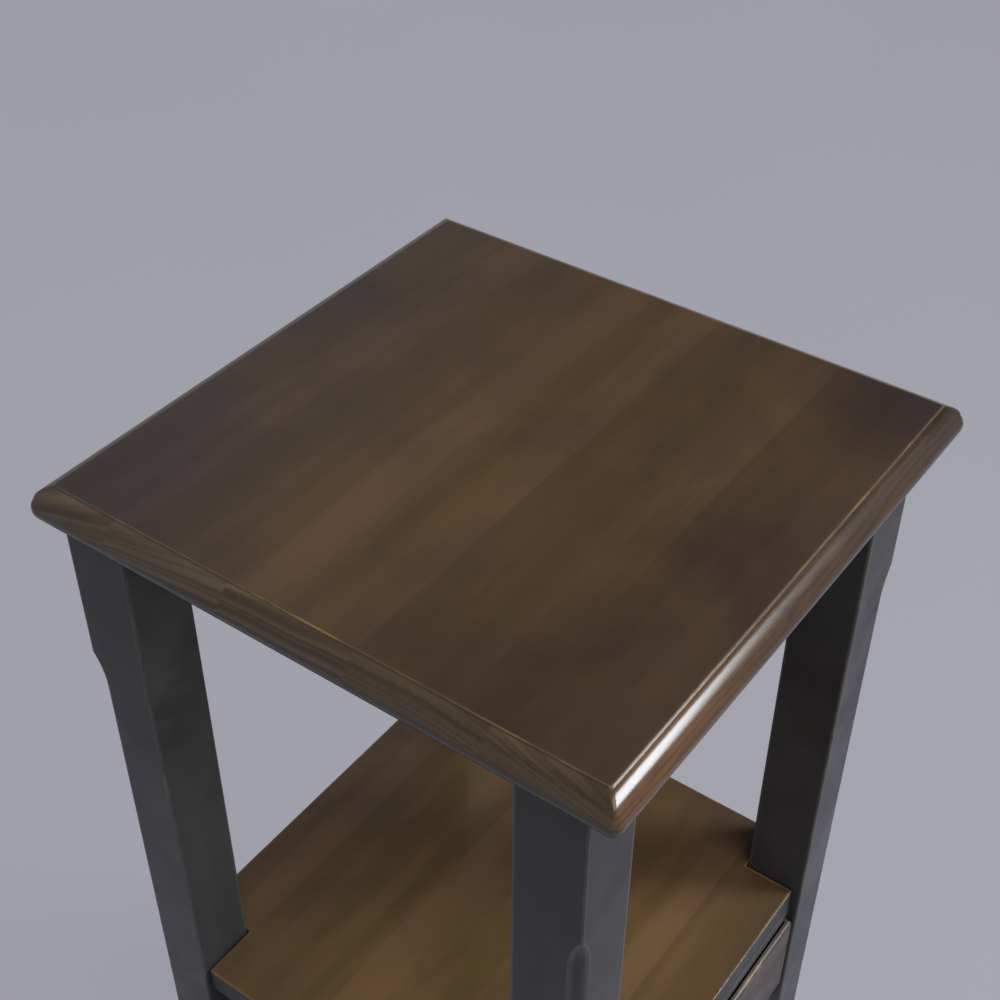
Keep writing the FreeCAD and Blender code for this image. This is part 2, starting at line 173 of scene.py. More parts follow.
def ring(corners, inset, rub, least_radius=0.2 * MM, steps=4):
    """An outline inset by some distance: its points, each with 1 on a rounded arris, else 0.

    corners go anticlockwise as (x, y, radius). Each gives a point before and after its arc,
    with the rubbed strip of width rub between them and the arc.
    """
    points = []
    for index, (x, y, radius) in enumerate(corners):
        here = Vector((x, y))
        last = Vector(corners[index - 1][:2])
        following = Vector(corners[(index + 1) % len(corners)][:2])
        along_in = (here - last).normalized()
        along_out = (following - here).normalized()
        left_in = Vector((-along_in.y, along_in.x))
        left_out = Vector((-along_out.y, along_out.x))
        here = here + (left_in + left_out) * inset
        outward = along_in.cross(along_out) > 0
        turn = 1 if outward else -1
        reach = max(radius - turn * inset, least_radius)
        centre = here + (left_in + left_out) * reach * turn
        points.append((here - along_in * (reach + rub), 0.0))
        for step in range(steps + 1):
            angle = math.pi / 2 * step / steps
            spoke = left_in * math.cos(angle) + left_out * math.sin(angle)
            points.append((centre - spoke * reach * turn, 1.0 if outward else 0.0))
        points.append((here + along_out * (reach + rub), 0.0))
    return points


def skin(name, rings, body, replaced, material):
    """A closed mesh through rings of (place, wear), lowest first, with its ends capped."""
    mesh = bmesh.new()
    wear = mesh.verts.layers.float.new("wear")
    loops = []
    for points in rings:
        loop = []
        for place, worn in points:
            vertex = mesh.verts.new(place)
            vertex[wear] = worn
            loop.append(vertex)
        loops.append(loop)
    for lower, upper in zip(loops, loops[1:]):
        for index in range(len(lower)):
            after = (index + 1) % len(lower)
            mesh.faces.new((lower[index], lower[after], upper[after], upper[index]))
    mesh.faces.new(list(reversed(loops[0])))
    mesh.faces.new(loops[-1])
    for face in mesh.faces:
        face.smooth = True
    data = bpy.data.meshes.new(name)
    mesh.to_mesh(data)
    mesh.free()
    return finished(name, data, body, replaced, material)


def finished(name, data, body, replaced, material):
    """An object for a mesh, with its finish, riding on its body in place of CAD nodes."""
    data.materials.clear()
    data.materials.append(material)
    piece = bpy.data.objects.new(name, data)
    bpy.context.scene.collection.objects.link(piece)
    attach(piece, body)
    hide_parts(*replaced)
    return piece


def rectangle(low, high, radius):
    """Corners of a board's outline, anticlockwise from the front left."""
    return [(low.x, low.y, radius), (high.x, low.y, radius),
            (high.x, high.y, radius), (low.x, high.y, radius)]


def arc_through(a, b, c, steps):
    """Points along the circle through three points, from a to c."""
    a, b, c = Vector(a), Vector(b), Vector(c)
    ab, ac = b - a, c - a
    bulk = 2 * ab.cross(ac)
    centre = a + Vector((ac.y * ab.length_squared - ab.y * ac.length_squared,
                         ab.x * ac.length_squared - ac.x * ab.length_squared)) / bulk
    start = math.atan2(a.y - centre.y, a.x - centre.x)
    sweep = (math.atan2(c.y - centre.y, c.x - centre.x) - start) % (2 * math.pi)
    if bulk < 0:
        sweep -= 2 * math.pi
    radius = (a - centre).length
    return [centre + Vector((math.cos(start + sweep * k / steps),
                             math.sin(start + sweep * k / steps))) * radius
            for k in range(steps + 1)]


def colour_group(name, inputs, outputs):
    """A shader group with its sockets made, and its input and output nodes."""
    group = bpy.data.node_groups.new(name, "ShaderNodeTree")
    for label, kind, value in inputs:
        socket = group.interface.new_socket(label, in_out="INPUT", socket_type=kind)
        socket.default_value = value
    for label, kind in outputs:
        group.interface.new_socket(label, in_out="OUTPUT", socket_type=kind)
    return group, group.nodes.new("NodeGroupInput").outputs, group.nodes.new("NodeGroupOutput")


def blend_of(tree, factor, a, b, mode="MIX"):
    """Colour a going to b as factor goes to 1."""
    mix = put(tree, "ShaderNodeMix", data_type="RGBA", blend_type=mode)
    for socket, value in ((mix.inputs[0], factor), (mix.inputs[6], a), (mix.inputs[7], b)):
        if isinstance(value, bpy.types.NodeSocket):
            tree.links.new(value, socket)
        else:
            socket.default_value = value
    return mix.outputs[2]


def sum_of(tree, first, second, mode="ADD", clamp=False):
    node = put(tree, "ShaderNodeMath", {0: first, 1: second}, operation=mode, use_clamp=clamp)
    return node.outputs[0]


def share_of(tree, value, share):
    return sum_of(tree, value, share, "MULTIPLY")


def between(tree, value, low, high, out_low=0.0, out_high=1.0):
    """A smooth step from out_low to out_high as value goes from low to high."""
    node = put(tree, "ShaderNodeMapRange", {"Value": value, "From Min": low, "From Max": high,
                                            "To Min": out_low, "To Max": out_high},
               interpolation_type="SMOOTHSTEP")
    return node.outputs["Result"]


def noise_of(tree, vector, scale, detail=2.0, roughness=0.5, distortion=0.0):
    node = put(tree, "ShaderNodeTexNoise", {"Vector": vector, "Scale": scale, "Detail": detail,
                                            "Roughness": roughness, "Distortion": distortion})
    return node.outputs["Fac"]


# The figure of the wood, as a solid pattern that is drawn out along the board: growth rings
# about a pith, broad bands, narrow streaks and fibres, and a stain that took unevenly. Boards
# glued up from staves change their figure at each glue line.
grain, given, out = colour_group(
    "wood_figure",
    [("Vector", "NodeSocketVector", (0, 0, 0)), ("Stretch", "NodeSocketVector", (0.1, 1, 1)),
     ("Pith", "NodeSocketVector", (0, 0, 0)), ("Stave Width", "NodeSocketFloat", 10.0),
     ("Band Scale", "NodeSocketFloat", 20.0), ("Streak Scale", "NodeSocketFloat", 62.0),
     ("Ring Scale", "NodeSocketFloat", 130.0), ("Fibre Scale", "NodeSocketFloat", 620.0)],
    [("Tone", "NodeSocketFloat"), ("Rings", "NodeSocketFloat"), ("Fibre", "NodeSocketFloat"),
     ("Cloud", "NodeSocketFloat")])
across = put(grain, "ShaderNodeSeparateXYZ", {"Vector": given["Vector"]}).outputs["Y"]
stave = sum_of(grain, sum_of(grain, across, given["Stave Width"], "DIVIDE"), 40.4)
stave = put(grain, "ShaderNodeMath", {0: stave}, operation="FLOOR").outputs[0]
stave = put(grain, "ShaderNodeTexWhiteNoise", {"W": stave}, noise_dimensions="1D").outputs
shift = put(grain, "ShaderNodeVectorMath", {0: stave["Color"], 1: (0.6, 0.05, 0.03)},
            operation="MULTIPLY").outputs[0]
stretched = put(grain, "ShaderNodeVectorMath", {0: given["Vector"], 1: given["Stretch"]},
                operation="MULTIPLY").outputs[0]
waver = put(grain, "ShaderNodeTexNoise", {"Vector": given["Vector"], "Scale": 7.0, "Detail": 2.0})
waver = put(grain, "ShaderNodeVectorMath", {0: waver.outputs["Color"], 1: (0.009, 0.009, 0.009)},
            operation="MULTIPLY").outputs[0]
stretched = put(grain, "ShaderNodeVectorMath", {0: stretched, 1: waver}).outputs[0]
stretched = put(grain, "ShaderNodeVectorMath", {0: stretched, 1: shift}).outputs[0]
reach = put(grain, "ShaderNodeVectorMath", {0: stretched, 1: given["Pith"]},
            operation="DISTANCE").outputs["Value"]
rings = put(grain, "ShaderNodeTexNoise", {"W": reach, "Scale": given["Ring Scale"], "Detail": 2.0},
            noise_dimensions="1D").outputs["Fac"]
bands = noise_of(grain, stretched, given["Band Scale"], distortion=0.4)
streaks = noise_of(grain, stretched, given["Streak Scale"], detail=3.0)
fibre = noise_of(grain, stretched, given["Fibre Scale"], detail=3.0, roughness=0.65)
cloud = noise_of(grain, given["Vector"], 10.0, detail=3.0, roughness=0.55, distortion=0.4)
tone = sum_of(grain, share_of(grain, bands, 0.54), share_of(grain, streaks, 0.30))
tone = sum_of(grain, tone, share_of(grain, rings, 0.16))
staved = share_of(grain, sum_of(grain, stave["Value"], -0.5), 0.05)
tone = sum_of(grain, tone, staved)
grain.links.new(between(grain, tone, 0.36, 0.64), out.inputs["Tone"])
grain.links.new(between(grain, rings, 0.35, 0.65), out.inputs["Rings"])
grain.links.new(between(grain, fibre, 0.30, 0.70), out.inputs["Fibre"])
grain.links.new(between(grain, cloud, 0.32, 0.68), out.inputs["Cloud"])

# Where a finish is rubbed through: full along the arrises, broken up where the hand was light.
rubbed, given, out = colour_group(
    "rub_through",
    [("Wear", "NodeSocketFloat", 0.0), ("Vector", "NodeSocketVector", (0, 0, 0)),
     ("Breakup Scale", "NodeSocketFloat", 60.0), ("Amount", "NodeSocketFloat", 0.5)],
    [("Mask", "NodeSocketFloat")])
breakup = noise_of(rubbed, given["Vector"], given["Breakup Scale"], detail=5.0,
                   roughness=0.62)
breakup = between(rubbed, breakup, 0.25, 0.75, -0.45, 0.45)
strength = sum_of(rubbed, sum_of(rubbed, given["Wear"], breakup), given["Amount"])
rubbed.links.new(between(rubbed, strength, 0.95, 1.45), out.inputs["Mask"])

# Handling marks and dust under a varnish or paint: a slow change of gloss and a fine tooth.
handled, given, out = colour_group(
    "handling",
    [("Vector", "NodeSocketVector", (0, 0, 0)), ("Gloss Low", "NodeSocketFloat", 0.3),
     ("Gloss High", "NodeSocketFloat", 0.45)],
    [("Roughness", "NodeSocketFloat"), ("Tooth", "NodeSocketFloat")])
smears = noise_of(handled, given["Vector"], 16.0, detail=4.0, roughness=0.6, distortion=0.8)
handled.links.new(between(handled, smears, 0.3, 0.7, given["Gloss Low"], given["Gloss High"]),
                  out.inputs["Roughness"])
handled.links.new(noise_of(handled, given["Vector"], 950.0), out.inputs["Tooth"])


def use_group(tree, group, inputs):
    node = put(tree, "ShaderNodeGroup", node_tree=group)
    for name, value in inputs.items():
        if isinstance(value, bpy.types.NodeSocket):
            tree.links.new(value, node.inputs[name])
        else:
            node.inputs[name].default_value = value
    return node.outputs


def wear_of(tree):
    return put(tree, "ShaderNodeAttribute", attribute_name="wear").outputs["Fac"]


ALONG_X = (0.045, 1.0, 1.0)
# The dark end of the stain. It is also painted shade and a painted bluish reflection where the
# painted light is low.
DARK_STAIN_AND_SHADE = rgba(0.0265, 0.0168, 0.0148)
STAIN_OLIVE = rgba(0.066, 0.0390, 0.0130)
STAIN_RUST = rgba(0.076, 0.0420, 0.0190)
STAIN_THIN = rgba(0.105, 0.0700, 0.0400)
EDGE_DARK = rgba(0.025, 0.0135, 0.0065)
EDGE_RED = rgba(0.088, 0.0420, 0.0150)
END_GRAIN_DARK = rgba(0.050, 0.0340, 0.0205)
END_GRAIN_PALE = rgba(0.096, 0.0680, 0.0420)
PORE_PALE = rgba(0.140, 0.115, 0.070)
BARE_GOLD = rgba(0.300, 0.175, 0.060)
PAINT_GREY = rgba(0.041, 0.042, 0.046)
PAINT_LIGHT = rgba(0.051, 0.053, 0.059)


def grey_of(tree, value):
    """One value as a grey colour."""
    node = put(tree, "ShaderNodeCombineColor", {"Red": value, "Green": value, "Blue": value})
    return node.outputs["Color"]


def grey_paint_colour(tree, coords):
    """Charcoal grey, a little uneven where the brush went over it twice."""
    clouds = noise_of(tree, coords, 28.0, detail=5.0, roughness=0.6)
    return blend_of(tree, between(tree, clouds, 0.3, 0.7), PAINT_GREY, PAINT_LIGHT)


def shaded(tree, colour, value):
    """A colour made lighter or darker by one value."""
    return blend_of(tree, 1.0, colour, grey_of(tree, value), "MULTIPLY")


def walnut(name, low, high, paint_top, painted_light_centre, painted_light_reach, deep=1.0):
    """Walnut stain under varnish on a board that fills the box from low to high.

    It is lighter about painted_light_centre and darker away from it, as painted light: a painted
    sheen on the top, and a painted pool of light on the shelf. It is redder on the long edges,
    lighter towards their left ends and darker towards their right with painted shade, and greyer
    where the end grain shows on the left and right edges, with painted shade where the nose turns
    under. It is painted below paint_top. deep scales the whole stain, and the shelf's larger deep
    is a lighter copy of the stain that stands in for light.
    """
    material, tree, shader = new_material(name)
    coords = put(tree, "ShaderNodeTexCoord").outputs["Object"]
    place = put(tree, "ShaderNodeSeparateXYZ", {"Vector": coords}).outputs
    edge_starts, edge_is_full = high.z - 0.3 * MM, high.z - 0.9 * MM
    on_edge = between(tree, place["Z"], edge_is_full, edge_starts, 1.0, 0.0)
    past = []
    for axis, middle in (("X", (low.x + high.x) / 2), ("Y", (low.y + high.y) / 2)):
        off_middle = sum_of(tree, place[axis], middle, "SUBTRACT")
        past.append(put(tree, "ShaderNodeMath", {0: off_middle}, operation="ABSOLUTE").outputs[0])
    nearer = sum_of(tree, past[0], past[1], "SUBTRACT")
    corner = (high.x - low.x) / 2 - (high.y - low.y) / 2
    corner_blur = 3.0 * MM
    end_grain = between(tree, nearer, corner - corner_blur, corner + corner_blur)
    pith = (0.0, 0.01, high.z - 0.90)
    figure = use_group(tree, grain, {"Vector": coords, "Stretch": ALONG_X, "Stave Width": 0.072,
                                     "Pith": pith, "Ring Scale": 260.0})
    colour = blend_of(tree, figure["Tone"], STAIN_OLIVE, STAIN_RUST)
    # Painted light: the stain is lighter about painted_light_centre, fades out by
    # painted_light_reach, and is darker beyond it.
    glow = put(tree, "ShaderNodeVectorMath", {0: coords, 1: painted_light_centre}, operation="SUBTRACT")
    drawn_out = (0.6, 1.15, 1.0)
    glow = put(tree, "ShaderNodeVectorMath", {0: glow.outputs[0], 1: drawn_out},
               operation="MULTIPLY").outputs[0]
    glow = put(tree, "ShaderNodeVectorMath", {0: glow}, operation="LENGTH").outputs["Value"]
    painted_light_core = 0.05
    glow = between(tree, glow, painted_light_core, painted_light_reach, 1.0, 0.0)
    # The stain's random unevenness and the painted light together. Where both are low, the colour
    # goes to the dark stain as painted shade.
    stain_and_painted_light = sum_of(tree, share_of(tree, figure["Cloud"], 0.46), share_of(tree, glow, 0.66),
                  clamp=True)
    colour = blend_of(tree, stain_and_painted_light, DARK_STAIN_AND_SHADE, colour)
    # deep above 1 lightens the stain; on the shelf this stands in for light.
    toned = between(tree, figure["Tone"], 0.0, 1.0, 0.89 * deep, 1.10 * deep)
    colour = shaded(tree, colour, toned)
    # Painted light on the long edges: lighter and redder towards the left end, by the corner that
    # catches the light, and darker towards the right as painted shade. The stain's random
    # unevenness is added.
    red_end, dark_end = low.x + 0.02, high.x - 0.10
    edge_light_and_tone = between(tree, place["X"], red_end, dark_end, 0.75, 0.0)
    edge_light_and_tone = sum_of(tree, edge_light_and_tone, share_of(tree, figure["Cloud"], 0.25))
    long_edge = blend_of(tree, edge_light_and_tone, EDGE_DARK, EDGE_RED)
    short_edge = blend_of(tree, figure["Rings"], END_GRAIN_DARK, END_GRAIN_PALE)
    # Painted shade: the end grain is darkened to half towards the foot of the moulding, where the
    # nose turns under.
    foot_end = paint_top + 5.0 * MM
    foot = between(tree, place["Z"], paint_top + 1.0 * MM, foot_end, 0.5, 1.0)
    short_edge = shaded(tree, short_edge, foot)
    edge_colour = blend_of(tree, end_grain, long_edge, short_edge)
    colour = blend_of(tree, on_edge, colour, edge_colour)
    fibres = between(tree, figure["Fibre"], 0.0, 1.0, 0.74, 1.18)
    plain = between(tree, figure["Fibre"], 0.0, 1.0, 0.96, 1.03)
    along_edge = sum_of(tree, on_edge, sum_of(tree, 1.0, end_grain, "SUBTRACT"), "MULTIPLY")
    fibres = blend_of(tree, along_edge, grey_of(tree, plain), grey_of(tree, fibres))
    colour = blend_of(tree, 1.0, colour, fibres, "MULTIPLY")
    pores = noise_of(tree, coords, 900.0, detail=1.0)
    pores = sum_of(tree, between(tree, pores, 0.66, 0.74), end_grain, "MULTIPLY")
    pores = share_of(tree, sum_of(tree, pores, on_edge, "MULTIPLY"), 0.22)
    colour = blend_of(tree, pores, colour, PORE_PALE)
    wear = wear_of(tree)
    arris_line = between(tree, wear, 0.2, 0.9, 0.0, 0.5)
    colour = blend_of(tree, arris_line, colour, STAIN_THIN)
    bare = use_group(tree, rubbed, {"Wear": wear, "Vector": coords,
                                    "Breakup Scale": 22.0, "Amount": 0.12})["Mask"]
    colour = blend_of(tree, share_of(tree, bare, 0.6), colour, BARE_GOLD)
    wobble = noise_of(tree, coords, 90.0, detail=3.0)
    hand_wander = 1.6 * MM
    line = sum_of(tree, place["Z"], share_of(tree, wobble, hand_wander))
    painted = between(tree, line, paint_top + 0.5 * MM, paint_top + 1.1 * MM, 1.0, 0.0)
    colour = blend_of(tree, painted, colour, grey_paint_colour(tree, coords))
    marks = use_group(tree, handled, {"Vector": coords, "Gloss Low": 0.36, "Gloss High": 0.50})
    dull = sum_of(tree, marks["Roughness"], share_of(tree, bare, 0.12))
    relief = sum_of(tree, figure["Fibre"], sum_of(tree, along_edge, 0.10), "MULTIPLY")
    relief = sum_of(tree, relief, share_of(tree, marks["Tooth"], 0.08))
    ridges = sum_of(tree, sum_of(tree, figure["Rings"], end_grain, "MULTIPLY"), on_edge, "MULTIPLY")
    relief = sum_of(tree, relief, share_of(tree, ridges, 1.2))
    bump = put(tree, "ShaderNodeBump", {"Height": relief, "Strength": 0.30, "Distance": 0.0002})
    shader.inputs["Specular IOR Level"].default_value = 0.08
    shader.inputs["Coat Roughness"].default_value = 0.20
    varnish = between(tree, painted, 0.0, 1.0, 0.75, 0.10)
    wire(tree, shader, Base_Color=colour, Roughness=dull, Normal=bump.outputs["Normal"],
         Coat_Weight=varnish)
    return material


top_low, top_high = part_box("top_board")
mould_reach = 9.8 * MM
mould_quirk = 0.6 * MM
mould_shoulder = (1.7 * MM, 7.6 * MM)       # inset from the nose, and drop
mould_nose_drop = 12.0 * MM
mould_foot_in = 3.0 * MM
mould_paint_height = 4.2 * MM
top_corner_radius = 5.0 * MM
thickness = top_high.z - top_low.z
half_across, half_down = 0.56, 0.36         # where the long curve is at its middle
long_curve = arc_through(
    (mould_reach, mould_quirk),
    (mould_reach - half_across * (mould_reach - mould_shoulder[0]),
     half_down * mould_shoulder[1]),
    mould_shoulder, steps=10)
nose_curve = arc_through(mould_shoulder, (0, mould_nose_drop), (mould_foot_in, thickness),
                         steps=14)
foot_ease = 0.4 * MM
flat_under = 3 * MM
# The section as (inset, drop, wear), from the flat underneath, round the nose and up the long
# curve to the quirk and its small arris, which is rubbed bright.
profile = [(mould_foot_in + flat_under, thickness, 0.0),
           (mould_foot_in + foot_ease, thickness, 0.0)]
profile += [(p.x, p.y, 0.0) for p in reversed(nose_curve[:-1])]
profile += [(p.x, p.y, 0.0) for p in reversed(long_curve[1:-1])]
profile += [(mould_reach - 0.15 * MM, mould_quirk + 0.05 * MM, 0.35),
            (mould_reach + 0.02 * MM, mould_quirk - 0.10 * MM, 0.8),
            (mould_reach + 0.06 * MM, 0.20 * MM, 1.0),
            (mould_reach + 0.22 * MM, 0.05 * MM, 1.0),
            (mould_reach + 0.50 * MM, 0.0, 0.9),
            (mould_reach + 1.60 * MM, 0.0, 0.0)]
top_corners = rectangle(top_low, top_high, top_corner_radius)
top_rings = []
for inset, drop, worn in profile:
    points = ring(top_corners, inset, rub=1.0 * MM, least_radius=1.3 * MM)
    top_rings.append([((p.x, p.y, top_high.z - drop), worn) for p, _ in points])
# The top carries a painted sheen: its stain is lighter about its middle.
skin("stand_top", top_rings, "frame", ["top_board"],
     walnut("walnut_top", top_low, top_high, top_low.z + mould_paint_height,
            painted_light_centre=(0.02, 0.005, top_high.z), painted_light_reach=0.20))


# ---- Legs ----------------------------------------------------------------------------------
# Four square posts painted charcoal grey over stain. The outermost corner of each has a
# stopped chamfer that ends in a lamb's tongue, and the paint is rubbed through on the arrises.
ALONG_Z = (1.0, 1.0, 0.10)
# The dark brown of the painted shade and of the random blotches on the paint.
SHADE_AND_BLOTCH_DARK = rgba(0.012, 0.0108, 0.0085)
# The light bluish grey of the painted highlight along the paint's arrises.
PAINTED_ARRIS_HIGHLIGHT = rgba(0.088, 0.0880, 0.0920)
WOOD_UNDER_PAINT = rgba(0.130, 0.105, 0.062)


def grey_paint(name, stretch):
    """Satin paint with faint brush drag along the piece, a painted highlight as a light line along
    the arrises, and bare wood at the arrises.

    Painted shade darkens it towards the top of the stand, where less light reaches, with random
    dark blotches over it.
    """
    material, tree, shader = new_material(name)
    coords = put(tree, "ShaderNodeTexCoord").outputs["Object"]
    colour = grey_paint_colour(tree, coords)
    figure = use_group(tree, grain, {"Vector": coords, "Stretch": stretch, "Band Scale": 30.0,
                                     "Streak Scale": 160.0, "Fibre Scale": 900.0})
    level = put(tree, "ShaderNodeSeparateXYZ", {"Vector": coords}).outputs["Z"]
    # Painted shade: darker from the shelf's height up to the top board, where the stand gets less
    # light, with random dark blotches added.
    shade_starts, shade_is_full = 0.34, 0.68
    shade_and_blotch = sum_of(tree, between(tree, level, shade_starts, shade_is_full, 0.0, 0.78),
                   share_of(tree, figure["Cloud"], 0.22))
    colour = blend_of(tree, shade_and_blotch, colour, SHADE_AND_BLOTCH_DARK)
    drag = between(tree, figure["Tone"], 0.0, 1.0, 0.92, 1.07)
    colour = shaded(tree, colour, drag)
    wear = wear_of(tree)
    # Painted highlight: a continuous light line along the arrises, where the satin paint catches
    # the light.
    arris_line = between(tree, wear, 0.3, 0.9, 0.0, 0.55)
    colour = blend_of(tree, arris_line, colour, PAINTED_ARRIS_HIGHLIGHT)
    bare = use_group(tree, rubbed, {"Wear": wear, "Vector": coords,
                                    "Breakup Scale": 24.0, "Amount": -0.02})["Mask"]
    colour = blend_of(tree, share_of(tree, bare, 0.75), colour, WOOD_UNDER_PAINT)
    marks = use_group(tree, handled, {"Vector": coords, "Gloss Low": 0.30, "Gloss High": 0.42})
    relief = sum_of(tree, share_of(tree, figure["Tone"], 0.6),
                    share_of(tree, marks["Tooth"], 0.4))
    bump = put(tree, "ShaderNodeBump", {"Height": relief, "Strength": 0.16, "Distance": 0.0003})
    shader.inputs["Specular IOR Level"].default_value = 0.38
    wire(tree, shader, Base_Color=colour, Roughness=marks["Roughness"],
         Normal=bump.outputs["Normal"])
    return material


paint_upright = grey_paint("grey_paint_upright", ALONG_Z)
leg_arris_radius = 1.0 * MM
leg_rub = 1.8 * MM
chamfer_leg = 7.0 * MM
chamfer_runout = 23.0 * MM
chamfer_top_stop = top_high.z - 110.0 * MM
chamfer_foot_stop = 90.0 * MM
leg_end_ease = 0.6 * MM


def chamfer_at(level):
    """How far the chamfer reaches along each face at a height: an arc that meets it square on."""
    depth = chamfer_leg / math.sqrt(2)
    radius = (chamfer_runout ** 2 + depth ** 2) / (2 * depth)
    beyond = max(level - (chamfer_top_stop - chamfer_runout),
                 (chamfer_foot_stop + chamfer_runout) - level, 0.0)
    cut = depth - radius + math.sqrt(max(radius ** 2 - min(beyond, chamfer_runout) ** 2, 0.0))
    return max(cut, 0.0) * math.sqrt(2)


def leg_levels(low, high):
    """Heights for a leg's sections, close together where the chamfer runs out."""
    above_foot, clear = 4 * MM, 2 * MM
    shares = [0.0, 0.04, 0.09, 0.15, 0.22, 0.30, 0.39, 0.49, 0.60, 0.72, 0.85, 1.0, 1.15]
    levels = [low + leg_end_ease + above_foot]
    for stop, way in ((chamfer_foot_stop, 1), (chamfer_top_stop, -1)):
        tongue = [stop + way * chamfer_runout * share for share in shares]
        levels += [stop - way * clear] + tongue
    return sorted(levels + [high - leg_end_ease - clear])


def leg_ring(low, high, cut, inset, outer):
    """A leg's section, with its chamfer on the corner numbered outer."""
    corners = rectangle(low, high, leg_arris_radius)
    points = ring(corners, inset, leg_rub)
    each = len(points) // 4
    x, y, _ = corners[outer]
    away = Vector((1 if x > (low.x + high.x) / 2 else -1, 1 if y > (low.y + high.y) / 2 else -1))
    corner = Vector((x, y)) - away * inset
    first, last = points[outer * each], points[outer * each + each - 1]
    side_in = (first[0] - corner).normalized()
    side_out = (last[0] - corner).normalized()
    width = max(cut - inset, leg_arris_radius * (2 - math.sqrt(2)))
    soft = min(0.35 * MM, width * 0.3)      # how much of each new arris is rounded
    narrow = 3 * MM
    slope = (side_out - side_in).normalized()
    edge_in = corner + side_in * width
    edge_out = corner + side_out * width
    span = edge_out - edge_in
    chamfer = [
        (corner + side_in * (width + leg_rub), 0.0),
        (edge_in + side_in * soft, 0.9),
        (edge_in + slope * soft, 1.0),
        (edge_in + span * 0.5, 0.45 if width < narrow else 0.0),
        (edge_out - slope * soft, 1.0),
        (edge_out + side_out * soft, 0.9),
        (corner + side_out * (width + leg_rub), 0.0),
    ]
    points[outer * each:outer * each + each] = chamfer
    return points


leg_ease_middle = 0.18 * MM
leg_foot_wear = 0.6
for place, outer in (("front_left", 0), ("front_right", 1), ("back_left", 3), ("back_right", 2)):
    node = "leg_" + place
    low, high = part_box(node)
    rings = [(low.z, leg_end_ease, leg_foot_wear),
             (low.z + leg_ease_middle, leg_ease_middle, leg_foot_wear),
             (low.z + leg_end_ease, 0.0, leg_foot_wear)]
    rings += [(level, 0.0, 0.0) for level in leg_levels(low.z, high.z) + [high.z]]
    built = []
    for level, inset, worn in rings:
        points = leg_ring(low, high, chamfer_at(level), inset, outer)
        built.append([((p.x, p.y, level), max(worn, arris)) for p, arris in points])
    skin("post_" + place, built, "frame", [node], paint_upright)


# ---- Foot glides and other turned pieces -----------------------------------------------------
# A nickel-plated nail-on glide under each leg: a shallow domed disc. The tree turns an outline
# about an axis and sets a copy on each given point, along that point's aim.
def turned_tree(name, outline, material, recess=0.0):
    """Geometry Nodes: a turned piece on each point. outline is (share of length, of radius).

    recess is the reach of a cross recess sunk into its near end, as a driver's tip needs.
    """
    tree = bpy.data.node_groups.new(name, "GeometryNodeTree")
    face = tree.interface
    face.new_socket("Seats", in_out="INPUT", socket_type="NodeSocketGeometry")
    for label, value in (("Length", 0.01), ("Radius", 0.005)):
        face.new_socket(label, in_out="INPUT", socket_type="NodeSocketFloat").default_value = value
    face.new_socket("Sides", in_out="INPUT", socket_type="NodeSocketInt").default_value = 32
    face.new_socket("Geometry", in_out="OUTPUT", socket_type="NodeSocketGeometry")
    given = tree.nodes.new("NodeGroupInput").outputs
    out = tree.nodes.new("NodeGroupOutput")
    tip = put(tree, "ShaderNodeCombineXYZ", {"Z": given["Length"]}).outputs[0]
    axis = put(tree, "GeometryNodeCurvePrimitiveLine", {"End": tip}).outputs["Curve"]
    axis = put(tree, "GeometryNodeResampleCurve", {"Curve": axis, "Count": 72}).outputs["Curve"]
    share = put(tree, "GeometryNodeSplineParameter").outputs["Factor"]
    shape = put(tree, "ShaderNodeFloatCurve", {"Value": share})
    curve = shape.mapping.curves[0]
    while len(curve.points) < len(outline):
        curve.points.new(0.5, 0.5)
    for knot, (along, out_to) in zip(curve.points, sorted(outline)):
        knot.location = (along, out_to)
        knot.handle_type = "AUTO_CLAMPED"
    shape.mapping.update()
    radius = put(tree, "ShaderNodeMath", {0: shape.outputs["Value"], 1: given["Radius"]},
                 operation="MULTIPLY").outputs[0]
    axis = put(tree, "GeometryNodeSetCurveRadius", {"Curve": axis, "Radius": radius})
    circle = put(tree, "GeometryNodeCurvePrimitiveCircle",
                 {"Resolution": given["Sides"], "Radius": 1.0})
    turned = put(tree, "GeometryNodeCurveToMesh",
                 {"Curve": axis.outputs["Curve"], "Profile Curve": circle.outputs["Curve"],
                  "Fill Caps": True, "Scale": radius})
    solid = turned.outputs["Mesh"]
    if recess:
        arms = []
        arm_width, arm_depth, arm_length = recess * 0.26, recess * 1.1, recess * 1.9
        for long_way in (0, 1):
            size = [arm_width, arm_width, arm_depth]
            size[long_way] = arm_length
            block = put(tree, "GeometryNodeMeshCube", {"Size": size})
            arms.append(block.outputs["Mesh"])
        cut = put(tree, "GeometryNodeMeshBoolean", {"Mesh 1": solid}, operation="DIFFERENCE")
        for arm in arms:
            tree.links.new(arm, cut.inputs["Mesh 2"])
        solid = cut.outputs["Mesh"]
    aim = put(tree, "GeometryNodeInputNamedAttribute", {"Name": "aim"}, data_type="FLOAT_VECTOR")
    turn = put(tree, "FunctionNodeAlignRotationToVector",
               {"Vector": aim.outputs["Attribute"]}, axis="Z")
    placed = put(tree, "GeometryNodeInstanceOnPoints",
                 {"Points": given["Seats"], "Instance": solid, "Rotation": turn.outputs[0]})
    real = put(tree, "GeometryNodeRealizeInstances", {"Geometry": placed.outputs["Instances"]})
    coated = put(tree, "GeometryNodeSetMaterial",
                 {"Geometry": real.outputs["Geometry"], "Material": material})
    tree.links.new(coated.outputs["Geometry"], out.inputs["Geometry"])
    return tree


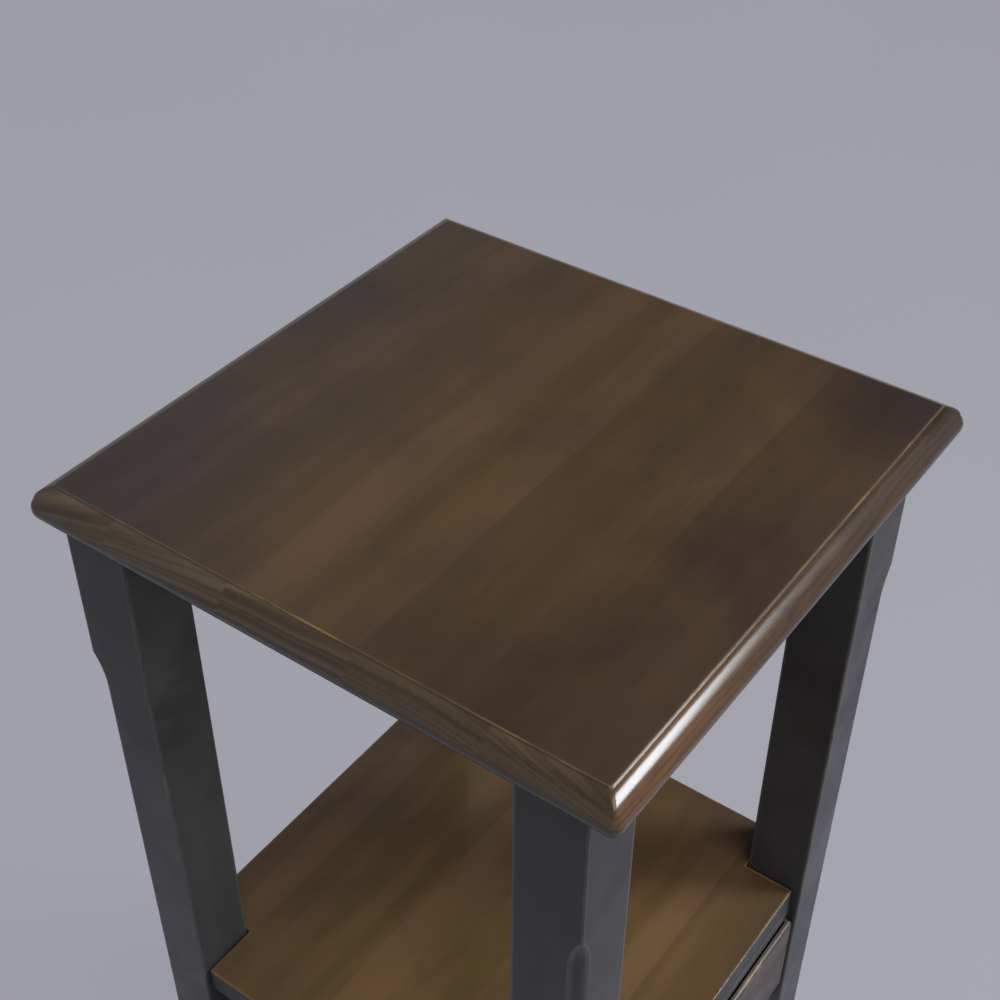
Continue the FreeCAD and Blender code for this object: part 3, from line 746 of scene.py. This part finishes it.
def set_turned(name, tree, seats, length, radius, sides, body, replaced, material):
    """Run a turning tree on seats of (place, aim), and keep its result as a plain mesh."""
    points = bpy.data.meshes.new(name + "_seats")
    points.from_pydata([place for place, _ in seats], [], [])
    aims = points.attributes.new("aim", "FLOAT_VECTOR", "POINT")
    for index, (_, aim) in enumerate(seats):
        aims.data[index].vector = aim
    holder = bpy.data.objects.new(name + "_seats", points)
    bpy.context.scene.collection.objects.link(holder)
    modifier = holder.modifiers.new("turning", "NODES")
    modifier.node_group = tree
    for label, value in (("Length", length), ("Radius", radius), ("Sides", sides)):
        modifier[tree.interface.items_tree[label].identifier] = value
    depsgraph = bpy.context.evaluated_depsgraph_get()
    data = bpy.data.meshes.new_from_object(holder.evaluated_get(depsgraph))
    data.name = name
    holder.modifiers.clear()
    bpy.data.objects.remove(holder)
    for face in data.polygons:
        face.use_smooth = len(face.vertices) == 4
    return finished(name, data, body, replaced, material)


def plated(name, colour, shine_low, shine_high):
    """Plated steel: fine scratches, and a finger-dulled gloss."""
    material, tree, shader = new_material(name)
    coords = put(tree, "ShaderNodeTexCoord").outputs["Object"]
    scratches = noise_of(tree, coords, 1500.0, detail=4.0, roughness=0.7)
    tarnish_share = 0.62
    dark = [part * tarnish_share for part in colour[:3]] + [1.0]
    tarnish = between(tree, noise_of(tree, coords, 220.0, detail=3.0), 0.35, 0.75)
    wire(tree, shader, Base_Color=blend_of(tree, tarnish, colour, dark))
    marks = use_group(tree, handled, {"Vector": coords, "Gloss Low": shine_low,
                                      "Gloss High": shine_high})
    bump = put(tree, "ShaderNodeBump", {"Height": scratches, "Strength": 0.08,
                                        "Distance": 0.0001})
    shader.inputs["Metallic"].default_value = 1.0
    wire(tree, shader, Roughness=marks["Roughness"], Normal=bump.outputs["Normal"])
    return material


nickel = plated("dulled_nickel", rgba(0.56, 0.54, 0.50), 0.22, 0.38)
UP = (0, 0, 1)
glide_outline = [(0.0, 0.84), (0.10, 0.93), (0.28, 0.99), (0.5, 1.0), (1.0, 1.0)]
glide_radius = 11.0 * MM
glide_tree = turned_tree("turned_glide", glide_outline, nickel)
for place in ("front_left", "front_right", "back_left", "back_right"):
    low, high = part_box("foot_glide_" + place)
    leg_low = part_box("leg_" + place)[0]
    centre = (low + high) / 2
    set_turned("glide_" + place, glide_tree, [((centre.x, centre.y, low.z), UP)],
               length=leg_low.z - low.z, radius=glide_radius, sides=48, body="frame",
               replaced=["foot_glide_" + place], material=nickel)


# ---- Rails under the top ---------------------------------------------------------------------
# Four painted rails, set back behind the faces of the legs and dowelled into them. Screws
# driven up through them hold the top.
def stacked(corners, stations, rub=1.8 * MM):
    """Rings of an upright outline. stations are (inset, height, wear), lowest first.

    The first and last rings lie on the flat faces, where nothing is worn.
    """
    rings = []
    for index, (inset, level, worn) in enumerate(stations):
        flat = index in (0, len(stations) - 1)
        points = ring(corners, inset, rub)
        rings.append([((p.x, p.y, level), 0.0 if flat else max(worn, arris))
                      for p, arris in points])
    return rings


def board(name, node, body, material, ease=0.8 * MM, corner=0.6 * MM):
    """A planed board in the place of a CAD node, with every arris eased."""
    low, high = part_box(node)
    rings = stacked(rectangle(low, high, corner), eased(low.z, high.z, ease))
    return skin(name, rings, body, [node], material)


def eased(low, high, ease, rub=1.8 * MM, steps=4):
    """Stations for a board's lower and upper arrises, rounded by ease."""
    quarter = [math.pi / 2 * step / steps for step in range(steps + 1)]
    lower = [(ease * (1 - math.sin(a)), low + ease * (1 - math.cos(a)), 1.0) for a in quarter]
    upper = [(inset, low + high - level, worn) for inset, level, worn in reversed(lower)]
    middle = [(0.0, low + ease + rub, 0.0), (0.0, high - ease - rub, 0.0)]
    if middle[1][1] <= middle[0][1]:
        middle = []
    return [(ease + rub, low, 0.0)] + lower + middle + upper + [(ease + rub, high, 0.0)]


def raw_wood(name, stretch, light, dark):
    """Planed wood with no finish: clear figure, open fibres, a matt surface."""
    material, tree, shader = new_material(name)
    coords = put(tree, "ShaderNodeTexCoord").outputs["Object"]
    figure = use_group(tree, grain, {"Vector": coords, "Stretch": stretch, "Band Scale": 26.0,
                                     "Streak Scale": 130.0, "Fibre Scale": 800.0})
    colour = blend_of(tree, figure["Tone"], dark, light)
    fibres = between(tree, figure["Fibre"], 0.0, 1.0, 0.80, 1.06)
    colour = shaded(tree, colour, fibres)
    marks = use_group(tree, handled, {"Vector": coords, "Gloss Low": 0.62, "Gloss High": 0.78})
    bump = put(tree, "ShaderNodeBump", {"Height": figure["Fibre"], "Strength": 0.25,
                                        "Distance": 0.0003})
    wire(tree, shader, Base_Color=colour, Roughness=marks["Roughness"],
         Normal=bump.outputs["Normal"])
    return material


ALONG_Y = (1.0, 0.10, 1.0)
paint_across = grey_paint("grey_paint_across", ALONG_X)
paint_deep = grey_paint("grey_paint_deep", ALONG_Y)
for way_name, paint in (("front", paint_across), ("back", paint_across),
                        ("left", paint_deep), ("right", paint_deep)):
    board("rail_under_top_" + way_name, "top_rail_" + way_name, "frame", paint)

BEECH_LIGHT, BEECH_DARK = rgba(0.56, 0.40, 0.24), rgba(0.38, 0.25, 0.135)
raw_across = raw_wood("raw_wood_across", ALONG_X, BEECH_LIGHT, BEECH_DARK)
raw_deep = raw_wood("raw_wood_deep", ALONG_Y, BEECH_LIGHT, BEECH_DARK)
for node in ("top_rail_dowels", "case_dowels", "front_rail_dowels"):
    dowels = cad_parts[node]
    dowels.data.materials.clear()
    dowels.data.materials.append(raw_across)

zinc = plated("zinc_plate", rgba(0.58, 0.58, 0.56), 0.28, 0.44)
screw_head_radius = 4.0 * MM
recess_share = 0.55
screw_outline = [(0.0, 0.97), (0.012, 1.0), (0.055, 0.52), (0.07, 0.5), (0.9, 0.5), (1.0, 0.12)]
screw_tree = turned_tree("turned_screw", screw_outline, zinc,
                         recess=recess_share * screw_head_radius)


def set_screws(name, seats, length, node):
    """A countersunk, zinc-plated screw on each seat."""
    set_turned(name, screw_tree, seats, length, radius=screw_head_radius, sides=24,
               body="frame", replaced=[node], material=zinc)


top_seats = []
rail_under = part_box("top_rail_front")[0].z
for end_name in ("front", "back"):
    low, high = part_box("top_rail_" + end_name)
    top_seats.append(((0.0, (low.y + high.y) / 2, rail_under), UP))
for side_name in ("left", "right"):
    low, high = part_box("top_rail_" + side_name)
    for share in (0.25, 0.75):      # of the way back along a side rail
        y = low.y + (high.y - low.y) * share
        top_seats.append((((low.x + high.x) / 2, y, rail_under), UP))
screw_low, screw_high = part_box("top_screws")
set_screws("screws_into_top", top_seats, screw_high.z - screw_low.z, "top_screws")


# ---- Shelf -----------------------------------------------------------------------------------
# A stained board like the top, notched round the four legs with a thin dark gap, its arris
# rubbed to gold and its edge painted. It also closes the top of the drawer case.
shelf_low, shelf_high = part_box("shelf_board")
shelf_notch_gap = 1.0 * MM
shelf_ease = 0.8 * MM
left_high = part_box("leg_front_left")[1]
right_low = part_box("leg_back_right")[0]
notch_left = left_high.x + shelf_notch_gap
notch_right = right_low.x - shelf_notch_gap
notch_front = left_high.y + shelf_notch_gap
notch_back = right_low.y - shelf_notch_gap
shelf_corner = 0.5 * MM
shelf_outline = [(x, y, shelf_corner) for x, y in (
    (notch_left, shelf_low.y), (notch_right, shelf_low.y), (notch_right, notch_front),
    (shelf_high.x, notch_front), (shelf_high.x, notch_back), (notch_right, notch_back),
    (notch_right, shelf_high.y), (notch_left, shelf_high.y), (notch_left, notch_back),
    (shelf_low.x, notch_back), (shelf_low.x, notch_front), (notch_left, notch_front))]
shelf_paint_top = shelf_high.z - 1.4 * MM
# The shelf's walnut has painted light: a painted pool of light on its left and painted shade of the
# top across its middle. deep=1.80 makes a lighter copy of the stain that stands in for light.
skin("shelf_over_drawer", stacked(shelf_outline, eased(shelf_low.z, shelf_high.z, shelf_ease)),
     "frame", ["shelf_board"],
     walnut("walnut_shelf", shelf_low, shelf_high, shelf_paint_top,
            painted_light_centre=(-0.07, 0.0, shelf_high.z), painted_light_reach=0.26, deep=1.80))


# ---- Drawer case -----------------------------------------------------------------------------
# Painted side panels and a back, set well in behind the legs, and two rails that frame the
# drawer: a thin one right under the shelf and a deeper one below.
board("case_panel_left", "case_side_left", "frame", paint_deep)
board("case_panel_right", "case_side_right", "frame", paint_deep)
board("case_panel_back", "case_back", "frame", paint_across)
board("rail_over_drawer", "front_top_rail", "frame", paint_across)
board("rail_under_drawer", "front_bottom_rail", "frame", paint_across)


# ---- What the drawer runs on -----------------------------------------------------------------
# Bare hardwood strips inside the case: runners under the drawer's sides, guides beside them,
# kickers above, and two stop blocks at the back.
for side_name in ("left", "right"):
    board("runner_" + side_name, "drawer_runner_" + side_name, "frame", raw_deep)
    board("guide_" + side_name, "drawer_guide_" + side_name, "frame", raw_deep)
    board("kicker_" + side_name, "drawer_kicker_" + side_name, "frame", raw_deep)
    board("stop_block_" + side_name, "drawer_stop_" + side_name, "frame", raw_across)

screw_spread = 0.6                          # share of the runner between its two screws
runner_seats, kicker_seats = [], []
for side_name, way in (("left", -1), ("right", 1)):
    runner_low, runner_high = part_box("drawer_runner_" + side_name)
    kicker_low, kicker_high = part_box("drawer_kicker_" + side_name)
    inner_x = runner_high.x if way < 0 else runner_low.x
    middle_y = (runner_low.y + runner_high.y) / 2
    reach_y = (runner_high.y - runner_low.y) / 2 * screw_spread
    for y in (middle_y - reach_y, middle_y + reach_y):
        runner_seats.append(((inner_x, y, (runner_low.z + runner_high.z) / 2), (way, 0, 0)))
        kicker_seats.append((((kicker_low.x + kicker_high.x) / 2, y, kicker_low.z), UP))
screw_low, screw_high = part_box("shelf_screws")
set_screws("screws_into_shelf", kicker_seats, screw_high.z - screw_low.z, "shelf_screws")
screw_tip_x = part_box("runner_screws")[1].x
runner_face_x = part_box("drawer_runner_right")[0].x
set_screws("screws_into_panels", runner_seats, screw_tip_x - runner_face_x, "runner_screws")


# ---- Drawer ----------------------------------------------------------------------------------
# A dark brown front, rounded on its face edges, rebated at the ends for the sides. The box is
# bare wood with a thin plywood bottom in grooves, and it is pinned at the corners.
BROWN_DARK = rgba(0.034, 0.0235, 0.0195)
BROWN_LIGHT = rgba(0.056, 0.0400, 0.0320)


def brown_front(name):
    """A dark, muted brown satin finish with the grain just showing."""
    material, tree, shader = new_material(name)
    coords = put(tree, "ShaderNodeTexCoord").outputs["Object"]
    figure = use_group(tree, grain, {"Vector": coords, "Stretch": ALONG_X, "Band Scale": 30.0,
                                     "Streak Scale": 120.0, "Fibre Scale": 700.0})
    colour = blend_of(tree, figure["Tone"], BROWN_DARK, BROWN_LIGHT)
    fibres = between(tree, figure["Fibre"], 0.0, 1.0, 0.88, 1.08)
    colour = shaded(tree, colour, fibres)
    bare = use_group(tree, rubbed, {"Wear": wear_of(tree), "Vector": coords,
                                    "Breakup Scale": 30.0, "Amount": 0.06})["Mask"]
    colour = blend_of(tree, share_of(tree, bare, 0.5), colour, BARE_GOLD)
    marks = use_group(tree, handled, {"Vector": coords, "Gloss Low": 0.34, "Gloss High": 0.48})
    bump = put(tree, "ShaderNodeBump", {"Height": figure["Fibre"], "Strength": 0.12,
                                        "Distance": 0.0002})
    wire(tree, shader, Base_Color=colour, Roughness=marks["Roughness"],
         Normal=bump.outputs["Normal"])
    return material


front_low, front_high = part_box("drawer_front")
side_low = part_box("drawer_side_right")[0]
drawer_edge_radius = 2.5 * MM
rear_corner = 0.4 * MM
shoulder_y = side_low.y
shoulder_x = side_low.x
front_outline = [
    (front_low.x, front_low.y, drawer_edge_radius),
    (front_high.x, front_low.y, drawer_edge_radius),
    (front_high.x, shoulder_y, rear_corner),
    (shoulder_x, shoulder_y, rear_corner),
    (shoulder_x, front_high.y, rear_corner),
    (-shoulder_x, front_high.y, rear_corner),
    (-shoulder_x, shoulder_y, rear_corner),
    (front_low.x, shoulder_y, rear_corner),
]
brown = brown_front("drawer_brown")
skin("drawer_face", stacked(front_outline, eased(front_low.z, front_high.z, drawer_edge_radius)),
     "drawer", ["drawer_front"], brown)
PLY_LIGHT, PLY_DARK = rgba(0.60, 0.44, 0.27), rgba(0.46, 0.31, 0.17)
plywood = raw_wood("thin_plywood", ALONG_X, PLY_LIGHT, PLY_DARK)
for node, finish in (("drawer_side_left", raw_deep), ("drawer_side_right", raw_deep),
                     ("drawer_back", raw_across), ("drawer_bottom", plywood),
                     ("drawer_pins", zinc)):
    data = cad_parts[node].data
    data.materials.clear()
    data.materials.append(finish)


# ---- Knob ------------------------------------------------------------------------------------
# A small turned knob in the drawer's brown, held by a round-headed screw from inside.
knob_low, knob_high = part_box("drawer_knob")
knob_middle = (knob_low + knob_high) / 2
knob_outline = [(0.0, 0.68), (0.06, 0.62), (0.3, 0.5), (0.5, 0.82), (0.68, 1.0), (0.84, 0.88),
                (0.93, 0.62), (0.98, 0.34), (1.0, 0.02)]
knob_radius = 11.0 * MM
FORWARD = (0, -1, 0)
knob_tree = turned_tree("turned_knob", knob_outline, brown)
set_turned("pull_knob", knob_tree, [((knob_middle.x, front_low.y, knob_middle.z), FORWARD)],
           length=front_low.y - knob_low.y, radius=knob_radius, sides=64, body="drawer",
           replaced=["drawer_knob"], material=brown)
screw_low, screw_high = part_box("knob_screw")
round_head = [(0.0, 0.72), (0.03, 0.93), (0.07, 1.0), (0.08, 0.98), (0.085, 0.45), (0.95, 0.44),
              (1.0, 0.2)]
knob_screw_radius = (screw_high.x - screw_low.x) / 2
knob_screw_tree = turned_tree("turned_knob_screw", round_head, zinc,
                              recess=recess_share * knob_screw_radius)
set_turned("screw_into_knob", knob_screw_tree,
           [((knob_middle.x, screw_high.y, knob_middle.z), FORWARD)],
           length=screw_high.y - screw_low.y, radius=knob_screw_radius, sides=28,
           body="drawer", replaced=["knob_screw"], material=zinc)
